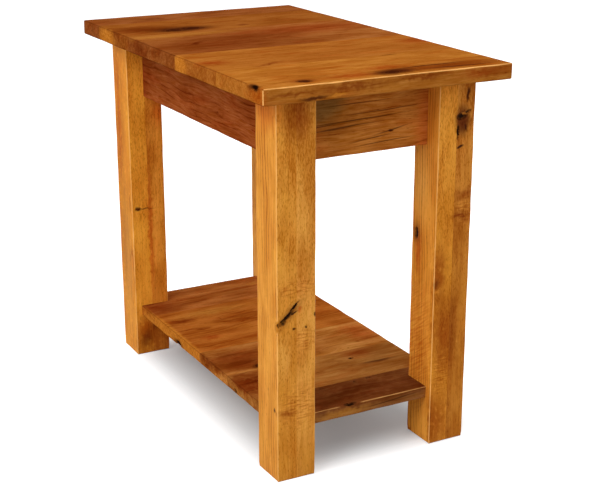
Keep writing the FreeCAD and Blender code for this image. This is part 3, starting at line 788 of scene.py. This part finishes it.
def uneven_stain(tree, name, pattern):
    """The stain takes unevenly: paler and deeper clouds and streaks, some redder or more golden."""
    pale, deep = BOARDS[name][:2]
    contrast = STAIN_CONTRAST[SLOTS[name]]
    tone = add(tree, "Math", [pattern["streak"], STREAK_WEIGHT], operation="MULTIPLY")
    tone = add(tree, "Math", [pattern["cloud"], CLOUD_WEIGHT, tone], operation="MULTIPLY_ADD")
    limits = [tone, *TONE_LIMITS, 0.5 - 0.5 * contrast, 0.5 + 0.5 * contrast]
    tone = add(tree, "MapRange", limits, **SMOOTH)
    colour = add(tree, "Mix", {SHARE: tone, UNDER: linear(pale), OVER: linear(deep)}, **LAID_OVER)
    most_red = LEG_RED_SHARE if SLOTS[name] == "leg_hickory" else RED_SHARE
    red = add(tree, "MapRange", [pattern["warmth"], *RED_LIMITS, 0.0, most_red], **SMOOTH)
    colour = add(tree, "Mix", {SHARE: red, UNDER: colour, OVER: RED_SHADE}, **MULTIPLIED)
    gold = add(tree, "MapRange", [pattern["warmth"], *GOLD_LIMITS, GOLD_SHARE, 0.0], **SMOOTH)
    return add(tree, "Mix", {SHARE: gold, UNDER: colour, OVER: GOLD_SHADE}, **MULTIPLIED)


def ripple(tree, at):
    """Curly figure: short dark waves across the grain."""
    waves = stretched(tree, at["wavy"], *RIPPLE_MM, {"Detail": 2.0, "Roughness": 0.5})
    return add(tree, "MapRange", [waves, *RIPPLE_LIMITS, 0.0, 1.0])


def feather(tree, at):
    """Feathered figure: orange strokes that run off slantwise to the edge."""
    angle = math.radians(90 - FEATHER_TURN_DEGREES)
    turned = {"Vector": at["table"], "Axis": (1, 0, 0), "Angle": angle}
    turned = add(tree, "VectorRotate", turned, rotation_type="AXIS_ANGLE")
    scale = (1 / FEATHER_MM[1], 1 / FEATHER_MM[0], 1 / FEATHER_MM[1])
    strokes = add(tree, "VectorMath", [turned, scale], operation="MULTIPLY")
    strokes = add(tree, "TexNoise", {"Vector": strokes, "Scale": 1.0, "Detail": 2.0})
    return add(tree, "MapRange", [strokes, *FEATHER_LIMITS, 0.0, 1.0])


FIGURES = {"ripple": ripple, "feather": feather}


def knot_rings(tree, away, heart):
    """A knot is a branch cut across: a dark heart with its own rings round it."""
    rings = add(tree, "Math", [away, KNOT_RINGS * math.tau], operation="MULTIPLY")
    rings = add(tree, "Math", [rings], operation="SINE")
    rings = add(tree, "MapRange", [rings, *KNOT_RING_LIMITS, 0.0, 1.0])
    outer = add(tree, "MapRange", [away, *KNOT_HEART_LIMITS, 0.0, KNOT_RING_SHARE])
    rings = add(tree, "Math", [rings, outer], operation="MULTIPLY")
    return add(tree, "Mix", {SHARE: rings, UNDER: heart, OVER: linear(KNOT_RING_COLOUR)}, **LAID_OVER)


def stained_marks(tree, name, at, colour):
    """The colour with the board's marks laid on, the knots that go on last, as pairs of share and
    colour, and how far each place is kept from the arrises' wear, painted highlight and painted shade
    by the rim of an open one."""
    box = body_box(body_of(name))
    ragged = {"Vector": at["table"], "Scale": RAGGED_PER_MM, "Detail": 3.0}
    ragged = add(tree, "TexNoise", ragged, out="Color")
    drawn_out = stretched(tree, at["straight"], *DRAWN_OUT_MM, {"Detail": 2.0}, out="Color")
    knots = []
    no_arris_colour = 0.0
    for mark in marks_of(name):
        kind = mark[0]
        stain, strength, soft, edge_mm, _depth = ALL_KINDS[kind]
        uneven = centred(tree, drawn_out if kind in DRAWN_OUT_KINDS else ragged, (edge_mm,) * 3)
        uneven = add(tree, "VectorMath", [at["table"], uneven], operation="ADD")
        away = mark_distance(tree, uneven, mark, box)
        share = add(tree, "MapRange", [away, 1 - soft, 1 + 0.5 * soft, strength, 0.0], **SMOOTH)
        if kind in OPEN_KINDS:
            rim = add(tree, "MapRange", [away, *HOLE_RIM_LIMITS, 1.0, 0.0])
            no_arris_colour = add(tree, "Math", [no_arris_colour, rim], operation="MAXIMUM")
            knots.append((share, linear(stain)))
        elif kind == "knot":
            knots.append((share, knot_rings(tree, away, linear(stain))))
        else:
            if kind in FIGURES:
                share = add(tree, "Math", [FIGURES[kind](tree, at), share], operation="MULTIPLY")
            way = MULTIPLIED if kind in STAIN_KINDS else LAID_OVER
            colour = add(tree, "Mix", {SHARE: share, UNDER: colour, OVER: linear(stain)}, **way)
    return colour, knots, no_arris_colour


def ray_fleck(tree, name, at, cloud):
    """Short dark dashes, as on a face cut on the quarter."""
    top_mm = box_mm(name)[1][2]
    scale = (1 / FLECK_MM[1], FLECK_DEPTH_PER_MM, 1 / FLECK_MM[0])
    flecks = add(tree, "VectorMath", [at["table"], scale], operation="MULTIPLY")
    flecks = {"Vector": flecks, "Scale": 1.0, "Detail": 3.0, "Roughness": 0.6}
    flecks = add(tree, "TexNoise", flecks)
    height = add(tree, "SeparateXYZ", [at["table"]], out="Z")
    more = [height, 2 * FLECK_SLOPE / top_mm, -FLECK_SLOPE]
    more = add(tree, "Math", more, operation="MULTIPLY_ADD")
    flecks = add(tree, "Math", [flecks, more], operation="ADD")
    flecks = add(tree, "Math", [cloud, FLECK_CLOUD_WEIGHT, flecks], operation="MULTIPLY_ADD")
    return add(tree, "MapRange", [flecks, *FLECK_LIMITS, 0.0, FLECK_SHARE])


def grained(tree, name, at, pattern, normal, colour):
    """Fibres, rings and pores over the stain, and ray fleck on the legs' fronts and backs, which are
    cut on the quarter and show fewer rings."""
    contrast = FIBRE_CONTRAST[SLOTS[name]]
    ring_strength = BOARDS[name][4]
    quartered = SLOTS[name] == "leg_hickory"
    deep_fibre = (*[1 + (part - 1) * contrast for part in DEEP_FIBRE], 1.0)
    pale_fibre = (*[1 + (part - 1) * contrast for part in PALE_FIBRE], 1.0)
    paleness = add(tree, "MapRange", [pattern["fibre"], *FIBRE_LIMITS, 0.0, 1.0])
    shade = add(tree, "Mix", {SHARE: paleness, UNDER: deep_fibre, OVER: pale_fibre}, **LAID_OVER)
    colour = add(tree, "Mix", {SHARE: 1.0, UNDER: colour, OVER: shade}, **MULTIPLIED)

    limits = [pattern["cloud"], *BROKEN_LIMITS, FAINT_PLACE * ring_strength, ring_strength]
    broken = add(tree, "MapRange", limits)
    ring = add(tree, "Math", [pattern["ring"], broken], operation="MULTIPLY")
    if quartered:
        front = add(tree, "SeparateXYZ", [normal], out="Y")
        front = add(tree, "Math", [front], operation="ABSOLUTE")
        fewer = add(tree, "MapRange", [front, 0.0, 1.0, 1.0, QUARTERED_SHARE])
        ring = add(tree, "Math", [ring, fewer], operation="MULTIPLY")
    colour = add(tree, "Mix", {SHARE: ring, UNDER: colour, OVER: RING_SHADE}, **MULTIPLIED)
    colour = add(tree, "Mix", {SHARE: pattern["pore"], UNDER: colour, OVER: PORE_SHADE}, **MULTIPLIED)
    if quartered:
        flecks = ray_fleck(tree, name, at, pattern["cloud"])
        flecks = add(tree, "Math", [flecks, front], operation="MULTIPLY")
        colour = add(tree, "Mix", {SHARE: flecks, UNDER: colour, OVER: FLECK_SHADE}, **MULTIPLIED)
    return colour


def glue_line(tree, name, own_mm, colour):
    """A fine darker line on each side of a board where it is glued to the next."""
    axis = AXES.index(BODIES[body_of(name)][1])
    low, high = box_mm(name)
    half = (high[axis] - low[axis]) / 2
    apart = add(tree, "SeparateXYZ", [own_mm], out=axis)
    apart = add(tree, "Math", [apart], operation="ABSOLUTE")
    line = add(tree, "MapRange", [apart, half - 2 * GLUE_LINE_MM, half, 0.0, GLUE_LINE_SHARE])
    return add(tree, "Mix", {SHARE: line, UNDER: colour, OVER: GLUE_AND_PAINTED_SHADE}, **MULTIPLIED)


def worn_and_highlighted_finish(tree, name, pattern, normal, no_arris_colour, colour):
    """Arrises along the grain that don't face down are made pale: partly wear through the stain,
    partly a painted highlight. Arrises across the grain get painted shade, and ends drink the stain
    and stay dark."""
    grain = BODIES[body_of(name)][0]
    squares = add(tree, "VectorMath", [normal, normal], operation="MULTIPLY")
    flatness = add(tree, "VectorMath", [squares, squares], out="Value", operation="DOT_PRODUCT")
    arris = add(tree, "MapRange", [flatness, *ARRIS_LIMITS, 0.0, 1.0])
    sound = add(tree, "Math", [1.0, no_arris_colour], operation="SUBTRACT")
    arris = add(tree, "Math", [arris, sound], operation="MULTIPLY")

    ends = add(tree, "SeparateXYZ", [squares], out=AXES.index(grain))
    level = add(tree, "SeparateXYZ", [squares], out="Z")
    crosswise = add(tree, "Math", [ends, level], operation="MULTIPLY")
    along = add(tree, "MapRange", [crosswise, 0.0, CROSSWISE_LIMIT, 1.0, 0.0])
    # Painted shade on arrises that run across the grain
    arris_shade = add(tree, "MapRange", [along, 0.0, 1.0, SHADED_ARRIS_SHARE, 0.0])
    arris_shade = add(tree, "Math", [arris, arris_shade], operation="MULTIPLY")
    colour = add(tree, "Mix", {SHARE: arris_shade, UNDER: colour, OVER: GLUE_AND_PAINTED_SHADE}, **MULTIPLIED)

    # The painted highlight leaves out arrises that face down, where the lamps don't reach
    upward = add(tree, "SeparateXYZ", [normal], out="Z")
    upward = add(tree, "MapRange", [upward, *FACES_DOWN, 0.0, 1.0])
    most = ARRIS_SHARE[SLOTS[name]]
    rub_and_highlight = add(tree, "MapRange", [pattern["fibre"], *ARRIS_FIBRE_LIMITS, 0.5 * most, most])
    for share in (along, upward, rub_and_highlight):
        arris = add(tree, "Math", [arris, share], operation="MULTIPLY")
    # Painted highlight, mixed with wear, on arrises along the grain that don't face down
    colour = add(tree, "Mix", {SHARE: arris, UNDER: colour, OVER: linear(RUBBED_AND_HIGHLIGHT_COLOUR)}, **LAID_OVER)

    end_share = add(tree, "MapRange", [ends, *END_LIMITS, 0.0, 1.0])
    blotch = add(tree, "MapRange", [pattern["streak"], *END_STREAK_LIMITS, *END_SHARES])
    end_share = add(tree, "Math", [end_share, blotch], operation="MULTIPLY")
    return add(tree, "Mix", {SHARE: end_share, UNDER: colour, OVER: END_SHADE}, **MULTIPLIED)


def stained_hickory(name, seed):
    """Hickory, planed, stained amber and rubbed with satin oil. The pattern is one solid grain that
    runs through faces, edges and ends: cathedrals on a face, lines on an edge, arcs on an end."""
    material = bpy.data.materials.new("stained_hickory_" + name)
    tree = blank_tree(material)
    at = grain_places(tree, name, seed)
    pattern = wood_patterns(tree, name, seed, at)
    normal = add(tree, "NewGeometry", out="True Normal")
    colour = uneven_stain(tree, name, pattern)
    colour, knots, no_arris_colour = stained_marks(tree, name, at, colour)
    colour = grained(tree, name, at, pattern, normal, colour)
    if SLOTS[name] in ("top_hickory", "shelf_hickory"):
        colour = glue_line(tree, name, at["own"], colour)
    colour = worn_and_highlighted_finish(tree, name, pattern, normal, no_arris_colour, colour)
    for share, stain in knots:
        colour = add(tree, "Mix", {SHARE: share, UNDER: colour, OVER: stain}, **LAID_OVER)

    height = [pattern["pore"], -PORE_DEPTH, pattern["fibre"]]
    height = add(tree, "Math", height, operation="MULTIPLY_ADD")
    height = add(tree, "Math", [pattern["ring"], -RING_DEPTH, height], operation="MULTIPLY_ADD")
    relief = {"Strength": RELIEF_STRENGTH, "Distance": RELIEF_MM * MM, "Height": height}
    limits = [pattern["fibre"], *SATIN_FIBRE_LIMITS, *SATIN_ROUGHNESS]
    settings = {
        "Base Color": colour,
        "Roughness": add(tree, "MapRange", limits),
        "Normal": add(tree, "Bump", relief),
        "IOR": WOOD_IOR,
        "Specular IOR Level": OILED_GLOSS[SLOTS[name]],
    }
    add(tree, "OutputMaterial", {"Surface": add(tree, "BsdfPrincipled", settings)})
    return material


def raw_poplar():
    """Poplar off the saw, left bare: pale, straight in the grain, dull and a little furry."""
    material = bpy.data.materials.new("raw_poplar")
    tree = blank_tree(material)
    place = add(tree, "TexCoord", out="Object")
    mm = add(tree, "VectorMath", [place, (1 / MM,) * 3], operation="MULTIPLY")
    fibre = stretched(tree, mm, *POPLAR_FIBRE_MM, {"Detail": 4.0})
    cloud = stretched(tree, mm, *POPLAR_CLOUD_MM, {"Detail": 2.0})
    pale, deep = (linear(colour) for colour in POPLAR_COLOURS)
    colour = add(tree, "Mix", {SHARE: cloud, UNDER: pale, OVER: deep}, **LAID_OVER)
    shade = add(tree, "MapRange", [fibre, *POPLAR_FIBRE_LIMITS, *POPLAR_SHADES])
    colour = add(tree, "Mix", {SHARE: 1.0, UNDER: colour, OVER: shade}, **MULTIPLIED)
    relief = {"Strength": SAWN_STRENGTH, "Distance": SAWN_MM * MM, "Height": fibre}
    bump = add(tree, "Bump", relief)
    settings = {"Base Color": colour, "Roughness": POPLAR_ROUGHNESS, "Normal": bump}
    add(tree, "OutputMaterial", {"Surface": add(tree, "BsdfPrincipled", settings)})
    return material


def plated_steel():
    """Yellow zinc-plated steel screws: bright with a gold cast, a little uneven from the bath."""
    material = bpy.data.materials.new("yellow_zinc_plated_steel")
    tree = blank_tree(material)
    place = add(tree, "TexCoord", out="Object")
    mm = add(tree, "VectorMath", [place, (1 / MM,) * 3], operation="MULTIPLY")
    bath = add(tree, "TexNoise", {"Vector": mm, "Scale": ZINC_BATH_PER_MM, "Detail": 3.0})
    gold, grey = (linear(colour) for colour in ZINC_COLOURS)
    colour = add(tree, "Mix", {SHARE: bath, UNDER: gold, OVER: grey}, **LAID_OVER)
    rough = add(tree, "MapRange", [bath, *ZINC_BATH_LIMITS, *ZINC_ROUGHNESS])
    settings = {"Base Color": colour, "Metallic": 1.0, "Roughness": rough}
    add(tree, "OutputMaterial", {"Surface": add(tree, "BsdfPrincipled", settings)})
    return material


def dress(piece, material):
    """Gives a piece one material."""
    piece.data.materials.clear()
    piece.data.materials.append(material)


# Boards, blocks, buttons and screws

for seed, name in enumerate(BOARDS, start=1):
    dress(worn_copy(name), stained_hickory(name, seed))
bare_wood = raw_poplar()
screw_steel = plated_steel()
for name, node in NODES.items():
    if name.endswith("screws"):
        dress(node, screw_steel)
    elif name.startswith(("corner_block", "top_button")):
        dress(node, bare_wood)


# Camera, light and floor

def set_camera():
    """The camera at the photograph's viewing angle."""
    data = bpy.data.cameras.new("photo_camera")
    data.sensor_width = CAMERA_SENSOR_MM
    data.lens = CAMERA_LENS_MM
    camera = bpy.data.objects.new("photo_camera", data)
    camera.location = CAMERA_PLACE
    pitch = math.radians(90 - CAMERA_PITCH_DEGREES)
    camera.rotation_euler = (pitch, 0.0, -math.radians(CAMERA_TURN_DEGREES))
    bpy.context.scene.collection.objects.link(camera)
    bpy.context.scene.camera = camera


def set_lamps():
    """Soft boxes over the table, at its left, in front and behind its right side."""
    for name, (place, target, size, watts) in LAMPS.items():
        data = bpy.data.lights.new(name, "AREA")
        data.shape = "RECTANGLE"
        data.size, data.size_y = size
        data.energy = watts
        lamp = bpy.data.objects.new(name, data)
        lamp.location = place
        toward = Vector(target) - Vector(place)
        lamp.rotation_euler = toward.to_track_quat("-Z", "Y").to_euler()
        bpy.context.scene.collection.objects.link(lamp)


def seen_directly(tree):
    """One where the camera, a reflection or glass looks at it, nought where it lights the table."""
    rays = [add(tree, "LightPath", out=name) for name in ("Is Camera Ray", "Is Glossy Ray")]
    through = add(tree, "LightPath", out="Is Transmission Ray")
    either = add(tree, "Math", rays, operation="MAXIMUM")
    return add(tree, "Math", [either, through], operation="MAXIMUM")


def set_room():
    """A pale room: white wall all round behind the floor, softer light from its ceiling."""
    world = bpy.data.worlds.new("pale_room")
    tree = blank_tree(world)
    look = add(tree, "TexCoord", out="Generated")
    slope = add(tree, "SeparateXYZ", [look], out="Z")
    limits = [slope, WALL_TOP_SLOPE, CEILING_SLOPE, WALL_LIGHT, CEILING_LIGHT]
    strength = add(tree, "MapRange", limits, **SMOOTH)
    light = add(tree, "Background", {"Color": linear(GLOW_COLOUR), "Strength": strength})
    add(tree, "OutputWorld", {"Surface": light})
    bpy.context.scene.world = world


def set_floor():
    """A matt white floor that keeps the table's shadow, darkened between the legs by a painted shadow
    where its glow is dimmed, and is white elsewhere.
    """
    half = FLOOR_SIZE_M / 2
    corners = [(-half, -half, 0), (half, -half, 0), (half, half, 0), (-half, half, 0)]
    mesh = bpy.data.meshes.new("studio_floor")
    mesh.from_pydata(corners, [], [(0, 1, 2, 3)])
    material = bpy.data.materials.new("matt_white_floor")
    tree = blank_tree(material)
    matt = add(tree, "BsdfDiffuse", {"Color": linear(FLOOR_COLOUR)})
    # Painted shadow: the glow is dimmed in a soft box between the legs, over the floor's real shadow
    place = add(tree, "TexCoord", out="Object")
    place = add(tree, "VectorMath", [place, SHADOW_MIDDLE_M], operation="SUBTRACT")
    place = add(tree, "VectorMath", [place], operation="ABSOLUTE")
    place = add(tree, "VectorMath", [place, SHADOW_HALF_SIZES_M], operation="SUBTRACT")
    place = add(tree, "VectorMath", [place, (0, 0, 0)], operation="MAXIMUM")
    away = add(tree, "VectorMath", [place], out="Value", operation="LENGTH")
    away = add(tree, "MapRange", [away, 0.0, SHADOW_EDGE_M, 0.0, 1.0])
    glow = add(tree, "Math", [away, away], operation="MULTIPLY")
    glow = add(tree, "Math", [glow, 1.0 - SHADOW_GLOW, SHADOW_GLOW], operation="MULTIPLY_ADD")
    glow = add(tree, "Math", [seen_directly(tree), glow], operation="MULTIPLY")
    glow = add(tree, "Emission", {"Color": linear(GLOW_COLOUR), "Strength": glow})
    add(tree, "OutputMaterial", {"Surface": add(tree, "AddShader", [matt, glow])})
    mesh.materials.append(material)
    floor = bpy.data.objects.new("studio_floor", mesh)
    bpy.context.scene.collection.objects.link(floor)


set_camera()
set_lamps()
set_room()
set_floor()
bpy.context.scene.view_settings.view_transform = "Standard"
